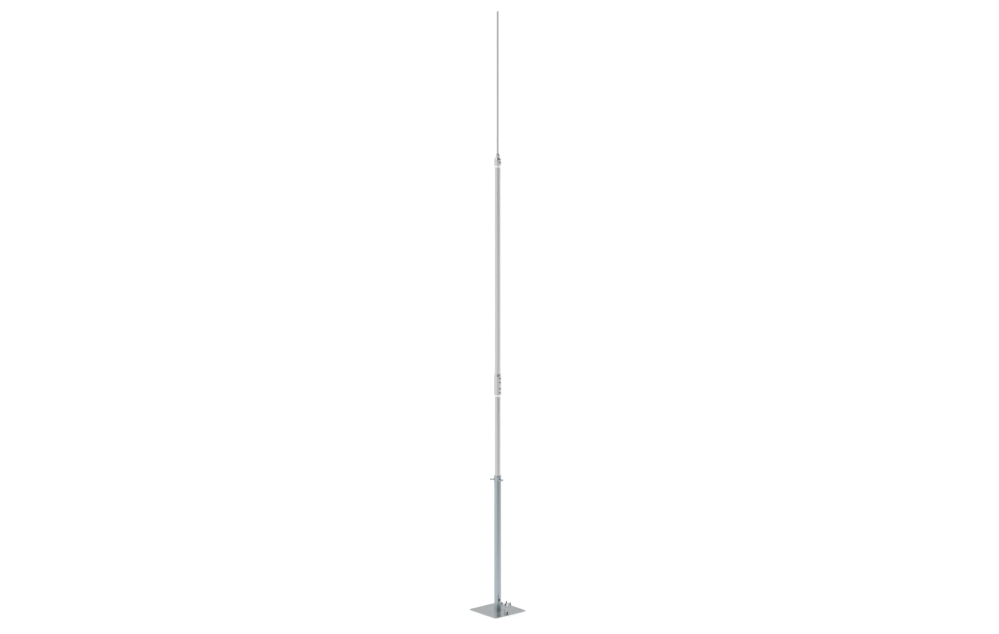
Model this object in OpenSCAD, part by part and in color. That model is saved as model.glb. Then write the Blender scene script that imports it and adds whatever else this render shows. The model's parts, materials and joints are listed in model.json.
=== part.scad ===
// Lightning rod mast: a square base plate carries a galvanised foot tube, a clamp collar holds
// the lower mast tube in it, a sleeve joins the upper mast tube, and a head cap holds the air rod.
// Millimetres, +Z up. The origin is the centre of the base plate's underside.

/* [Base plate] */
// Side of the square base plate
plate_side = 360; // [320:1:500]
// Thickness of the base plate
plate_t = 6; // [4:0.5:15]
// Radius of the base plate's corners
plate_corner_r = 20; // [2:0.5:30]
// Distance of the anchor holes from the plate's edges
anchor_inset = 40; // [25:0.5:60]
// Diameter of the anchor holes
anchor_hole_d = 14; // [9:0.5:22]

/* [Foot tube] */
// Length of the foot tube
foot_len = 1183; // [700:1:1800]
// Wall of the foot tube
foot_wall = 4.5; // [3:0.1:6]
// Gap around the mast tube inside the foot tube
foot_gap = 0.65; // [0.3:0.05:1.2]
// Width of the outlet slot
slot_w = 13; // [10:0.5:24]
// Height of the outlet slot, with its round ends
slot_h = 26; // [25:0.5:70]
// Height of the slot's middle above the plate
slot_rise = 97; // [60:1:110]
// Angle of the outlet slot about the mast
slot_turn = -15; // [-40:1:40]
// Leg of the fillet weld round the foot tube
foot_weld_leg = 5; // [3:0.5:8]

/* [Clamp collar] */
// Height of the clamp collar
collar_h = 50; // [40:1:80]
// Wall of the clamp collar
collar_wall = 6; // [5:0.1:9]
// Gap around the mast tube inside the collar
collar_gap = 0.5; // [0.3:0.05:0.8]
// Bevel at the collar's outer top edge
collar_bevel = 1.5; // [0.5:0.1:2.5]
// Number of clamp screws round the collar
collar_screw_count = 3; // [3:1:4]
// Distance of the clamp screws below the collar's top
collar_screw_drop = 31; // [16:0.5:36]
// Thread diameter of the clamp screws
collar_screw_d = 10; // [8:1:12]
// Length of the clamp screws under the head
collar_screw_len = 35; // [28:1:50]
// Width across flats of the clamp screw heads and lock nuts
collar_screw_af = 17; // [13:0.5:19]
// Height of the clamp screw heads
collar_head_h = 6.4; // [5:0.1:8]
// Height of the lock nuts
collar_nut_h = 8; // [5:0.5:10]
// Margin of the spot face round each lock nut
spot_margin = 1; // [0.5:0.1:2]
// Depth of the spot face at its shallowest edge
spot_depth = 0.3; // [0.1:0.05:0.6]

/* [Mast tubes] */
// Outer diameter of the mast tubes
mast_od = 50; // [44:0.5:60]
// Wall of the mast tubes
mast_wall = 3; // [2:0.1:5]
// Length of the lower mast tube
lower_len = 1800; // [1400:1:2500]
// Depth of the lower mast tube below the collar's top
lower_insert = 969; // [400:1:1000]
// Length of the upper mast tube
upper_len = 2060; // [1000:1:3000]

/* [Coupling sleeve] */
// Length of the coupling sleeve
sleeve_len = 206; // [190:1:300]
// Wall of the coupling sleeve
sleeve_wall = 6; // [4:0.1:9]
// Gap between the sleeve's bore and the mast tubes
sleeve_gap = 0.25; // [0.1:0.05:0.5]
// Length of the taper at the sleeve's lower end
sleeve_taper = 18; // [8:0.5:24]
// Length of the taper at the sleeve's upper end, with its bevel
sleeve_lead = 22; // [10:0.5:24]
// Bevel at the rim of the sleeve's upper end
sleeve_bevel = 1.8; // [0.5:0.1:3]
// Width of the flat rim at the small end of a taper
taper_rim = 0.5; // [0.3:0.1:2]
// Distance from the tube joint to the nearer screws
sleeve_screw_near = 29; // [12:0.5:45]
// Distance from the tube joint to the further screws
sleeve_screw_far = 66; // [60:0.5:75]

/* [Head cap] */
// Depth of the socket that takes the upper mast tube
cap_socket = 59; // [45:0.5:90]
// Thickness of the web above the socket
cap_web = 11; // [8:0.5:25]
// Wall of the head cap round the mast tube
cap_wall = 6; // [4:0.1:9]
// Length of the taper at the cap's lower end
cap_taper = 20; // [8:0.5:26]
// Height of the shoulder cone
cap_shoulder = 20; // [10:0.5:30]
// Height of the neck above the shoulder
cap_neck_h = 32; // [30:0.5:60]
// Outer diameter of the neck
cap_neck_d = 32; // [28:0.5:40]
// Height of the bevel at the neck's top
cap_neck_bevel = 10; // [3:0.5:14]
// Width of the flat rim at the neck's top
cap_neck_rim = 3; // [1:0.1:5]
// Height of the tube screw above the cap's lower end
cap_screw_rise = 47; // [32:0.5:48]
// Height of the rod screw above the shoulder
rod_screw_rise = 13; // [8:0.5:16]

/* [Air rod] */
// Diameter of the air rod
rod_d = 16; // [10:0.5:18]
// Length of the air rod
rod_len = 1500; // [800:1:2500]
// Depth of the rod below the top of the head cap
rod_insert = 193; // [120:1:300]
// Gap between the rod and its bore
rod_gap = 0.2; // [0.1:0.05:0.5]

/* [Small screws] */
// Thread diameter of the sleeve and cap screws
screw_d = 8; // [6:0.5:10]
// Length of the sleeve and cap screws under the head
screw_len = 10; // [8.5:0.5:16]
// Width across flats of their heads
screw_af = 13; // [10:0.5:16]
// Height of their heads
screw_head_h = 5.3; // [4:0.1:7]
// Gap between a screw and its tapped hole
thread_gap = 0.1; // [0.05:0.05:0.2]
// Gap between a screw's tip and what it presses on
tip_gap = 0.1; // [0.05:0.05:0.2]

/* [Earth terminal] */
// Side of the square earth post
post_side = 30; // [26:0.5:36]
// Wall of the earth post
post_wall = 3; // [2:0.1:5]
// Inner radius of the earth post's corners
post_inner_r = 1.5; // [0.5:0.1:3]
// Length of the earth post
post_len = 82; // [50:1:150]
// Distance from the plate's edge to the earth post
post_edge = 15; // [8:0.5:30]
// Offset of the earth post from the plate's middle line
post_offset = 30; // [0:1:80]
// Diameter of the hole through the earth post
post_hole_d = 18; // [10:0.5:20]
// Height of that hole above the plate
post_hole_rise = 16; // [14:0.5:30]
// Leg of the fillet weld round the earth post
post_weld_leg = 3; // [2:0.5:4]
// Side of the square clamp plates
clamp_side = 70; // [66:0.5:90]
// Thickness of the lower clamp plate
clamp_lower_t = 4; // [3:0.5:8]
// Thickness of the upper clamp plate
clamp_upper_t = 3; // [2:0.25:4]
// Radius of the clamp plates' corners
clamp_corner_r = 6; // [2:0.5:8]
// Diameter of the round conductor that the clamp takes
conductor_d = 10; // [8:0.5:12]
// Distance between the clamp bolts along each side
clamp_bolt_pitch = 52; // [46:0.5:53]
// Thread diameter of the clamp bolts
clamp_bolt_d = 8; // [6:0.5:9]
// Length of the clamp bolts under the head
clamp_bolt_len = 30; // [20:0.5:45]
// Width across flats of the clamp bolts and nuts
clamp_bolt_af = 13; // [10:0.5:14]
// Height of the clamp bolt heads
clamp_head_h = 5.3; // [4:0.1:7]
// Height of the clamp nuts
clamp_nut_h = 6.5; // [4:0.1:8]
// Gap between a clamp bolt and its hole
clamp_hole_gap = 0.5; // [0.2:0.1:1]

/* [Hidden] */
$fn = 96;
COLLAR_SCREWS = [for (i = [1 : collar_screw_count]) i];
SLEEVE_SCREWS = [1, 2, 3, 4];
CLAMP_CORNERS = [[1, 1], [-1, 1], [-1, -1], [1, -1]];
CLAMP_BOLTS = [for (i = [1 : len(CLAMP_CORNERS)]) i];

ZINC = [0.66, 0.69, 0.70];
ALUMINIUM = [0.78, 0.78, 0.78];
STAINLESS = [0.58, 0.58, 0.59];

// Overshoot of every cut past the face that it opens
cut = 1;
// Gap between a weld bead and the tube that it runs round
weld_gap = 0.1;
// Slope of the bevel on hexagon heads and nuts
hex_bevel_slope = tan(30);
// Share of the width across flats that the bevel leaves flat
hex_flat_share = 0.92;

mast_r = mast_od / 2;
foot_bore_r = mast_r + foot_gap;
foot_r = foot_bore_r + foot_wall;
foot_top = plate_t + foot_len;
collar_bore_r = mast_r + collar_gap;
collar_r = collar_bore_r + collar_wall;
collar_top = foot_top + collar_h;
collar_screw_z = collar_top - collar_screw_drop;
spot_r = collar_screw_af / cos(30) / 2 + spot_margin;
spot_face_r = sqrt(collar_r * collar_r - spot_r * spot_r) - spot_depth;
lower_bottom = collar_top - lower_insert;
joint_z = lower_bottom + lower_len;
upper_top = joint_z + upper_len;
sleeve_bore_r = mast_r + sleeve_gap;
sleeve_r = sleeve_bore_r + sleeve_wall;
cap_bottom = upper_top - cap_socket;
cap_r = sleeve_bore_r + cap_wall;
cap_shoulder_z = upper_top + cap_web;
cap_neck_z = cap_shoulder_z + cap_shoulder;
cap_top = cap_neck_z + cap_neck_h;
rod_r = rod_d / 2;
rod_bore_r = rod_r + rod_gap;
rod_bottom = cap_top - rod_insert;
post_x = plate_side / 2 - post_edge - post_side / 2;
post_y = -post_offset;
post_top = plate_t + post_len;
post_outer_r = post_inner_r + post_wall;
clamp_seat_z = post_top + clamp_lower_t;
clamp_face_z = clamp_seat_z + clamp_upper_t;
conductor_r = conductor_d / 2;

// Places its children on a radius: their +Z points outward at the given angle and height
module radial(angle, z) {
    rotate([0, 0, angle]) translate([0, 0, z]) rotate([0, 90, 0]) children();
}

// Square of the given side with round corners, centred
module round_square(side, corner_r) {
    square([side, side - 2 * corner_r], center = true);
    square([side - 2 * corner_r, side], center = true);
    for (x = [-1, 1], y = [-1, 1])
        translate([x, y] * (side / 2 - corner_r)) circle(r = corner_r);
}

// Straight round tube standing on z = 0
module round_tube(outer_r, bore_r, length) {
    difference() {
        cylinder(r = outer_r, h = length);
        translate([0, 0, -cut]) cylinder(r = bore_r, h = length + 2 * cut);
    }
}

// Hexagon prism with its upper corners bevelled, standing on z = 0
module hex_head(across_flats, height) {
    flat_r = across_flats / 2 * hex_flat_share;
    intersection() {
        cylinder(d = across_flats / cos(30), h = height, $fn = 6);
        cylinder(r1 = flat_r + height / hex_bevel_slope, r2 = flat_r, h = height);
    }
}

// Hexagon nut with a plain bore, standing on z = 0
module hex_nut(across_flats, height, bore_d) {
    difference() {
        hex_head(across_flats, height);
        translate([0, 0, -cut]) cylinder(d = bore_d, h = height + 2 * cut);
    }
}

// Hexagon screw: its tip is at z = 0 and its head on top of the shank
module hex_screw(thread_d, length, across_flats, head_h) {
    tip_bevel = thread_d / 8;
    cylinder(d1 = thread_d - 2 * tip_bevel, d2 = thread_d, h = tip_bevel);
    translate([0, 0, tip_bevel]) cylinder(d = thread_d, h = length - tip_bevel);
    translate([0, 0, length]) hex_head(across_flats, head_h);
}

// Small clamp screw of the sleeve and the cap, pressing on a round of the given radius
module small_screw(pressed_r, z) {
    color(STAINLESS)
        radial(0, z) translate([0, 0, pressed_r + tip_gap])
            hex_screw(screw_d, screw_len, screw_af, screw_head_h);
}

// Tapped hole of a small screw, from the axis outward
module small_screw_hole(z, reach) {
    radial(0, z) cylinder(d = screw_d + 2 * thread_gap, h = reach + cut);
}

// Angle of a collar screw about the mast
function collar_angle(i) = (i - 1) * 360 / collar_screw_count;

// Height of a sleeve screw: two below the tube joint and two above it
function sleeve_screw_z(i) =
    joint_z + [-sleeve_screw_far, -sleeve_screw_near, sleeve_screw_near, sleeve_screw_far][i - 1];

// Places its children at a corner of the clamp's bolt square
module at_clamp_bolt(i, z) {
    corner = CLAMP_CORNERS[i - 1] * clamp_bolt_pitch / 2;
    translate([post_x + corner[0], post_y + corner[1], z]) children();
}

module base_plate() {
    hole_xy = plate_side / 2 - anchor_inset;
    color(ZINC) difference() {
        linear_extrude(plate_t) round_square(plate_side, plate_corner_r);
        for (x = [-1, 1], y = [-1, 1])
            translate([x * hole_xy, y * hole_xy, -cut]) cylinder(d = anchor_hole_d, h = plate_t + 2 * cut);
    }
}

module foot_tube() {
    end_rise = (slot_h - slot_w) / 2;
    color(ZINC) translate([0, 0, plate_t]) difference() {
        round_tube(foot_r, foot_bore_r, foot_len);
        rotate([0, 0, slot_turn]) translate([0, -slot_w / 2, slot_rise - end_rise])
            cube([foot_r + cut, slot_w, 2 * end_rise]);
        for (side = [-1, 1])
            radial(slot_turn, slot_rise + side * end_rise) cylinder(d = slot_w, h = foot_r + cut);
    }
}

module foot_weld() {
    inner_r = foot_r + weld_gap;
    color(ZINC) translate([0, 0, plate_t]) rotate_extrude()
        polygon([[inner_r, 0], [inner_r + foot_weld_leg, 0], [inner_r, foot_weld_leg]]);
}

module clamp_collar() {
    color(ZINC) difference() {
        translate([0, 0, foot_top]) rotate_extrude() polygon([
            [collar_bore_r, 0],
            [collar_r, 0],
            [collar_r, collar_h - collar_bevel],
            [collar_r - collar_bevel, collar_h],
            [collar_bore_r, collar_h]
        ]);
        for (i = COLLAR_SCREWS) radial(collar_angle(i), collar_screw_z) {
            cylinder(d = collar_screw_d + 2 * thread_gap, h = collar_r + cut);
            translate([0, 0, spot_face_r]) cylinder(r = spot_r, h = collar_r);
        }
    }
}

module collar_screw(i) {
    color(STAINLESS)
        radial(collar_angle(i), collar_screw_z) translate([0, 0, mast_r + tip_gap])
            hex_screw(collar_screw_d, collar_screw_len, collar_screw_af, collar_head_h);
}

module collar_nut(i) {
    color(STAINLESS)
        radial(collar_angle(i), collar_screw_z) translate([0, 0, spot_face_r])
            hex_nut(collar_screw_af, collar_nut_h, collar_screw_d + 2 * thread_gap);
}

module lower_mast_tube() {
    color(ALUMINIUM) translate([0, 0, lower_bottom]) round_tube(mast_r, mast_r - mast_wall, lower_len);
}

module coupling_sleeve() {
    half = sleeve_len / 2;
    rim_r = sleeve_bore_r + taper_rim;
    color(ALUMINIUM) difference() {
        translate([0, 0, joint_z]) rotate_extrude() polygon([
            [sleeve_bore_r, -half],
            [rim_r, -half],
            [sleeve_r, -half + sleeve_taper],
            [sleeve_r, half - sleeve_lead],
            [rim_r + sleeve_bevel, half - sleeve_bevel],
            [rim_r, half],
            [sleeve_bore_r, half]
        ]);
        for (i = SLEEVE_SCREWS) small_screw_hole(sleeve_screw_z(i), sleeve_r);
    }
}

module sleeve_screw(i) {
    small_screw(mast_r, sleeve_screw_z(i));
}

module upper_mast_tube() {
    color(ALUMINIUM) translate([0, 0, joint_z]) round_tube(mast_r, mast_r - mast_wall, upper_len);
}

module head_cap() {
    neck_r = cap_neck_d / 2;
    color(ALUMINIUM) difference() {
        rotate_extrude() polygon([
            [sleeve_bore_r, cap_bottom],
            [sleeve_bore_r + taper_rim, cap_bottom],
            [cap_r, cap_bottom + cap_taper],
            [cap_r, cap_shoulder_z],
            [neck_r, cap_neck_z],
            [neck_r, cap_top - cap_neck_bevel],
            [rod_bore_r + cap_neck_rim, cap_top],
            [rod_bore_r, cap_top],
            [rod_bore_r, upper_top],
            [sleeve_bore_r, upper_top]
        ]);
        small_screw_hole(cap_bottom + cap_screw_rise, cap_r);
        small_screw_hole(cap_neck_z + rod_screw_rise, neck_r);
    }
}

module cap_screw() {
    small_screw(mast_r, cap_bottom + cap_screw_rise);
}

module rod_screw() {
    small_screw(rod_r, cap_neck_z + rod_screw_rise);
}

module air_rod() {
    color(ALUMINIUM) translate([0, 0, rod_bottom]) {
        cylinder(r = rod_r, h = rod_len - rod_r);
        translate([0, 0, rod_len - rod_r]) sphere(r = rod_r);
    }
}

module earth_post() {
    inner = post_side - 2 * post_wall;
    color(ZINC) translate([post_x, post_y, plate_t]) difference() {
        linear_extrude(post_len) difference() {
            round_square(post_side, post_outer_r);
            round_square(inner, post_inner_r);
        }
        translate([-post_side / 2 - cut, 0, post_hole_rise]) rotate([0, 90, 0])
            cylinder(d = post_hole_d, h = post_side + 2 * cut);
    }
}

module earth_post_weld() {
    straight = post_side - 2 * post_outer_r;
    inner_r = post_outer_r + weld_gap;
    bead = [[inner_r, 0], [inner_r + post_weld_leg, 0], [inner_r, post_weld_leg]];
    color(ZINC) translate([post_x, post_y, plate_t])
        for (turn = [0, 90, 180, 270])
            rotate([0, 0, turn]) translate([straight / 2, straight / 2, 0]) {
                rotate_extrude(angle = 90) polygon(bead);
                rotate([90, 0, 0]) linear_extrude(straight) polygon(bead);
            }
}

module clamp_bolt_holes(z, depth) {
    for (i = CLAMP_BOLTS)
        at_clamp_bolt(i, z - cut) cylinder(d = clamp_bolt_d + 2 * clamp_hole_gap, h = depth + 2 * cut);
}

module clamp_lower_plate() {
    color(ZINC) difference() {
        translate([post_x, post_y, post_top])
            linear_extrude(clamp_lower_t) round_square(clamp_side, clamp_corner_r);
        clamp_bolt_holes(post_top, clamp_lower_t);
    }
}

// Straight channel with a half-round crown over its legs, along X, open at the bottom
module channel(crown_r, length) {
    rotate([90, 0, 90]) linear_extrude(length, center = true) {
        translate([0, conductor_r]) circle(r = crown_r);
        translate([-crown_r, 0]) square([2 * crown_r, conductor_r]);
    }
}

module clamp_upper_plate() {
    color(ZINC) difference() {
        translate([post_x, post_y, clamp_seat_z]) difference() {
            intersection() {
                union() {
                    linear_extrude(clamp_upper_t) round_square(clamp_side, clamp_corner_r);
                    for (turn = [0, 90])
                        rotate([0, 0, turn]) channel(conductor_r + clamp_upper_t, clamp_side);
                }
                linear_extrude(clamp_side) square(clamp_side, center = true);
            }
            for (turn = [0, 90])
                rotate([0, 0, turn]) channel(conductor_r, clamp_side + 2 * cut);
        }
        clamp_bolt_holes(clamp_seat_z, clamp_upper_t);
    }
}

module clamp_bolt(i) {
    color(STAINLESS) at_clamp_bolt(i, post_top) {
        cylinder(d = clamp_bolt_d, h = clamp_bolt_len);
        mirror([0, 0, 1]) hex_head(clamp_bolt_af, clamp_head_h);
    }
}

module clamp_nut(i) {
    color(STAINLESS) at_clamp_bolt(i, clamp_face_z)
        hex_nut(clamp_bolt_af, clamp_nut_h, clamp_bolt_d + 2 * thread_gap);
}

base_plate();
foot_tube();
foot_weld();
clamp_collar();
for (i = COLLAR_SCREWS) {
    collar_screw(i);
    collar_nut(i);
}
lower_mast_tube();
coupling_sleeve();
for (i = SLEEVE_SCREWS) {
    sleeve_screw(i);
}
upper_mast_tube();
head_cap();
cap_screw();
rod_screw();
air_rod();
earth_post();
earth_post_weld();
clamp_lower_plate();
clamp_upper_plate();
for (i = CLAMP_BOLTS) {
    clamp_bolt(i);
    clamp_nut(i);
}
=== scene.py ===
"""Looks of a lightning rod mast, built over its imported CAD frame.

The frame gives every node's place and size in metres. Each class below is one sub-assembly of the
mast: it turns, presses, welds or threads its meshes at the frame's own sizes and dresses them.
"""

import json
import logging
import math
from dataclasses import dataclass, replace
from enum import Enum
from typing import Callable, ClassVar, Optional, Sequence, Union

import bmesh
import bpy
from mathutils import Euler, Matrix, Vector


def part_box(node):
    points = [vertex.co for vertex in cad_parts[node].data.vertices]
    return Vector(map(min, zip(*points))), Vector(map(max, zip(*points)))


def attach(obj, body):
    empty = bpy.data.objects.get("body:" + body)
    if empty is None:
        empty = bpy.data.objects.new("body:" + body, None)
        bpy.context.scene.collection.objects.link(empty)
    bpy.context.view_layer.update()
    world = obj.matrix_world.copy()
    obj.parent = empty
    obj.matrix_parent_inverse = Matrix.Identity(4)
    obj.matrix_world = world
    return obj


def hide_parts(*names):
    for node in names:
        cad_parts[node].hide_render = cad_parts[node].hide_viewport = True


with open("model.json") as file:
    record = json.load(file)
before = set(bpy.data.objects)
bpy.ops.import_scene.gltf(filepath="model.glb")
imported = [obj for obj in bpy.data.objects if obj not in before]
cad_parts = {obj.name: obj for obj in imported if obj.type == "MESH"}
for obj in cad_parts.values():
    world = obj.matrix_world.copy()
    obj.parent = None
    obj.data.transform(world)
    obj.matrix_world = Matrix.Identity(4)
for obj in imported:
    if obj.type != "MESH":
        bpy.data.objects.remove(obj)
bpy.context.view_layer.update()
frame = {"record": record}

MM = 0.001
BODY = "root"
QUARTER = math.pi / 2
HEX_HALF = math.pi / 6
RIGHT_ANGLE = 90.0
TUBE_COLUMNS = 96
SCREW_COLUMNS = 48
NOISE_MIDDLE = 0.5
WHITE = (1.0, 1.0, 1.0)
MIX_FIRST, MIX_SECOND, MIX_RESULT = 6, 7, 2
log = logging.getLogger("mast")

Colour = tuple[float, float, float]
Pairs = list[tuple[float, float]]
Rows = list[list[Vector]]
Path = list[tuple[Vector, Vector]]


class Slot(Enum):
    """Material slots of the mast's record."""

    ZINC = "galvanised_steel"
    ALUMINIUM = "aluminium"
    STAINLESS = "stainless_steel"


class Grain(Enum):
    """Direction of the fine tool lines on a worked metal surface, as stretch along x, y and z."""

    ALONG = (1.0, 1.0, 0.008)
    ROUND = (0.02, 0.02, 1.0)


class Detail(Enum):
    """How finely a noise breaks up, as its number of octaves."""

    SOFT = 2.0
    EVEN = 3.0
    CLOUDY = 4.0
    BROKEN = 6.0


class Value:
    """A shader socket that takes part in Python arithmetic."""

    def __init__(self, graph: "Graph", socket: bpy.types.NodeSocket) -> None:
        """Hold the socket and the graph that it belongs to."""
        self.graph = graph
        self.socket = socket

    def _math(self, operation: str, first: "Number", second: "Number") -> "Value":
        """Add one Math node for an operator."""
        return self.graph.node("ShaderNodeMath", {"operation": operation}, {0: first, 1: second})

    def __add__(self, other: "Number") -> "Value":
        """Add a number or a value."""
        return self._math("ADD", self, other)

    def __sub__(self, other: "Number") -> "Value":
        """Subtract a number or a value."""
        return self._math("SUBTRACT", self, other)

    def __rsub__(self, other: "Number") -> "Value":
        """Subtract from a number."""
        return self._math("SUBTRACT", other, self)

    def __mul__(self, other: "Number") -> "Value":
        """Multiply by a number or a value."""
        return self._math("MULTIPLY", self, other)

    __radd__ = __add__
    __rmul__ = __mul__

    def larger(self, other: "Number") -> "Value":
        """Keep the larger of two values."""
        return self._math("MAXIMUM", self, other)

    def swing(self, span: float) -> "Value":
        """Swing of a noise about its middle, over a span."""
        return span * (self - NOISE_MIDDLE)


Number = Union[float, Value]


class Graph:
    """Node tree of one material or world."""

    def __init__(self, owner: Union[bpy.types.Material, bpy.types.World]) -> None:
        """Clear the owner's tree and start on it.

        Args:
            owner: Material or world that the nodes are for.
        """
        owner.use_nodes = True
        self.tree = owner.node_tree
        self.tree.nodes.clear()

    def node(
        self,
        kind: str,
        settings: Optional[dict] = None,
        sockets: Optional[dict] = None,
        output: Union[int, str] = 0,
    ) -> Value:
        """Add any node.

        Args:
            kind: Blender's type name of the node.
            settings: Properties of the node, set before its sockets.
            sockets: Input sockets by index or name, with a constant or a Value for each.
            output: Index or name of the output that is handed back.

        Returns:
            The chosen output, or the node's first input when it has no outputs.
        """
        node = self.tree.nodes.new(kind)
        for name, setting in (settings or {}).items():
            setattr(node, name, setting)
        for key, given in (sockets or {}).items():
            if isinstance(given, Value):
                self.tree.links.new(given.socket, node.inputs[key])
            else:
                node.inputs[key].default_value = given
        return Value(self, node.outputs[output] if node.outputs else node.inputs[0])

    def vector(self, operation: str, sockets: dict, output: Union[int, str] = 0) -> Value:
        """Add a Vector Math node."""
        return self.node("ShaderNodeVectorMath", {"operation": operation}, sockets, output)

    def place(self) -> Value:
        """Position on the object in metres."""
        return self.node("ShaderNodeTexCoord", output="Object")

    def noise(self, place: Value, size: float, detail: Detail) -> Value:
        """Cloudy noise between 0 and 1 whose features have about the given size in metres."""
        sockets = {"Vector": place, "Scale": 1.0 / size, "Detail": detail.value}
        return self.node("ShaderNodeTexNoise", {"noise_dimensions": "3D"}, sockets)

    def cells(self, place: Value, size: float) -> Value:
        """Crystal cells of the given size in metres, each with its own grey."""
        sockets = {"Vector": place, "Scale": 1.0 / size}
        return self.node("ShaderNodeTexVoronoi", {"feature": "F1"}, sockets, "Color")

    def ramp(self, value: Value, low: float, high: float, top: float = 1.0) -> Value:
        """Smooth step of a value from 0 at low to the top at high."""
        sockets = {"Value": value, "From Min": low, "From Max": high, "To Max": top}
        return self.node("ShaderNodeMapRange", {"interpolation_type": "SMOOTHSTEP"}, sockets)

    def along(self, place: Value, direction: Vector) -> Value:
        """Share of a position or a ray along a direction."""
        return self.vector("DOT_PRODUCT", {0: place, 1: direction}, "Value")

    def toned(self, colour: Colour, tone: Value) -> Value:
        """Scale a colour by a tone near 1."""
        return self.vector("SCALE", {0: colour, "Scale": tone})

    def mixed(self, share: Number, first: Union[Colour, Value], second: Union[Colour, Value]) -> Value:
        """Mix two colours."""
        sockets = {0: share, MIX_FIRST: opaque(first), MIX_SECOND: opaque(second)}
        return self.node("ShaderNodeMix", {"data_type": "RGBA"}, sockets, MIX_RESULT)

    def rays(self, kind: str) -> Value:
        """Mask of one kind of rays."""
        return self.node("ShaderNodeLightPath", output=f"Is {kind} Ray")

    def seen(self) -> Value:
        """Mask of the rays that show a surface: from the camera, from a reflection or through glass."""
        return self.rays("Camera").larger(self.rays("Glossy")).larger(self.rays("Transmission"))

    def reflected(self) -> Value:
        """Mask of every ray but the camera's own."""
        return 1.0 - self.rays("Camera")

    def metal(
        self, colour: Value, roughness: Value, height: Value, depth: float, film: float = 0.0
    ) -> None:
        """End the graph in a metal surface.

        Args:
            colour: Its colour.
            roughness: Its roughness.
            height: Its fine relief, between 0 and 1.
            depth: Depth of the relief in metres.
            film: Share of dull film on the bare metal.
        """
        normal = self.node("ShaderNodeBump", None, {"Height": height, "Distance": depth})
        sockets = {"Base Color": colour, "Roughness": roughness, "Normal": normal}
        sockets["Metallic"] = 1.0 - film
        shader = self.node("ShaderNodeBsdfPrincipled", None, sockets)
        self.node("ShaderNodeOutputMaterial", None, {"Surface": shader})


def opaque(colour: Union[Colour, Value]) -> Union[tuple, Value]:
    """Give a plain colour its alpha, and pass a Value on."""
    return colour if isinstance(colour, Value) else (*colour, 1.0)


@dataclass(frozen=True)
class Finish:
    """A metal surface: its name, its colour, its gloss and its slot of the record."""

    slot: ClassVar[Slot]
    name: str
    colour: Colour
    roughness: float

    def material(self) -> bpy.types.Material:
        """Fetch the finish's material, made on first use.

        Returns:
            The material with its finished node tree.
        """
        known = bpy.data.materials.get(self.name)
        if known:
            return known
        material = bpy.data.materials.new(self.name)
        material.diffuse_color = opaque(self.colour)
        self.paint(Graph(material))
        return material

    def paint(self, graph: Graph) -> None:
        """Draw the surface into an empty graph."""
        raise NotImplementedError


@dataclass(frozen=True)
class SpangledZinc(Finish):
    """Hot-dip zinc: crystals of slightly different grey under a cloudy film."""

    slot: ClassVar[Slot] = Slot.ZINC
    crystal: float = 9 * MM
    contrast: float = 0.10
    cloud: float = 70 * MM
    cloud_contrast: float = 0.10
    film: float = 0.0
    grit: float = 0.9 * MM
    crystal_gloss: float = 0.10
    cloud_gloss: float = 0.14
    grit_gloss: float = 0.05
    crystal_relief: float = 0.5
    grit_relief: float = 0.3
    cloud_relief: float = 0.2
    depth: float = 0.05 * MM

    def paint(self, graph: Graph) -> None:
        """Draw crystals, clouds and fine grit.

        Args:
            graph: Empty graph of the material.
        """
        place = graph.place()
        warp = graph.noise(place, 2 * self.crystal, Detail.SOFT)
        bent = graph.vector("ADD", {0: place, 1: graph.toned(WHITE, self.crystal * warp)})
        crystals = graph.cells(bent, self.crystal)
        clouds = graph.noise(place, self.cloud, Detail.CLOUDY)
        grit = graph.noise(place, self.grit, Detail.SOFT)
        tone = 1.0 + crystals.swing(self.contrast) + clouds.swing(self.cloud_contrast)
        gloss = self.roughness + crystals.swing(self.crystal_gloss) + clouds.swing(self.cloud_gloss)
        height = self.crystal_relief * crystals + self.grit_relief * grit + self.cloud_relief * clouds
        colour = graph.toned(self.colour, tone)
        graph.metal(colour, gloss + grit.swing(self.grit_gloss), height, self.depth, self.film)


@dataclass(frozen=True)
class WorkedAluminium(Finish):
    """Aluminium with the fine lines of drawing or turning and a thin uneven oxide."""

    slot: ClassVar[Slot] = Slot.ALUMINIUM
    grain: Grain = Grain.ALONG
    line: float = 0.5 * MM
    line_contrast: float = 0.12
    line_gloss: float = 0.14
    oxide: float = 60 * MM
    oxide_contrast: float = 0.06
    oxide_gloss: float = 0.10
    mark: float = 14 * MM
    mark_start: float = 0.60
    mark_full: float = 0.74
    mark_contrast: float = 0.05
    mark_gloss: float = 0.06
    depth: float = 0.02 * MM

    def paint(self, graph: Graph) -> None:
        """Draw tool lines, oxide clouds and a few handling marks.

        Args:
            graph: Empty graph of the material.
        """
        place = graph.place()
        drawn = graph.vector("MULTIPLY", {0: place, 1: self.grain.value})
        lines = graph.noise(drawn, self.line, Detail.CLOUDY)
        oxide = graph.noise(place, self.oxide, Detail.CLOUDY)
        marks = graph.ramp(graph.noise(place, self.mark, Detail.BROKEN), self.mark_start, self.mark_full)
        tone = 1.0 + lines.swing(self.line_contrast) + oxide.swing(self.oxide_contrast)
        gloss = self.roughness + lines.swing(self.line_gloss) + oxide.swing(self.oxide_gloss)
        colour = graph.toned(self.colour, tone - self.mark_contrast * marks)
        graph.metal(colour, gloss + self.mark_gloss * marks, lines, self.depth)


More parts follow.
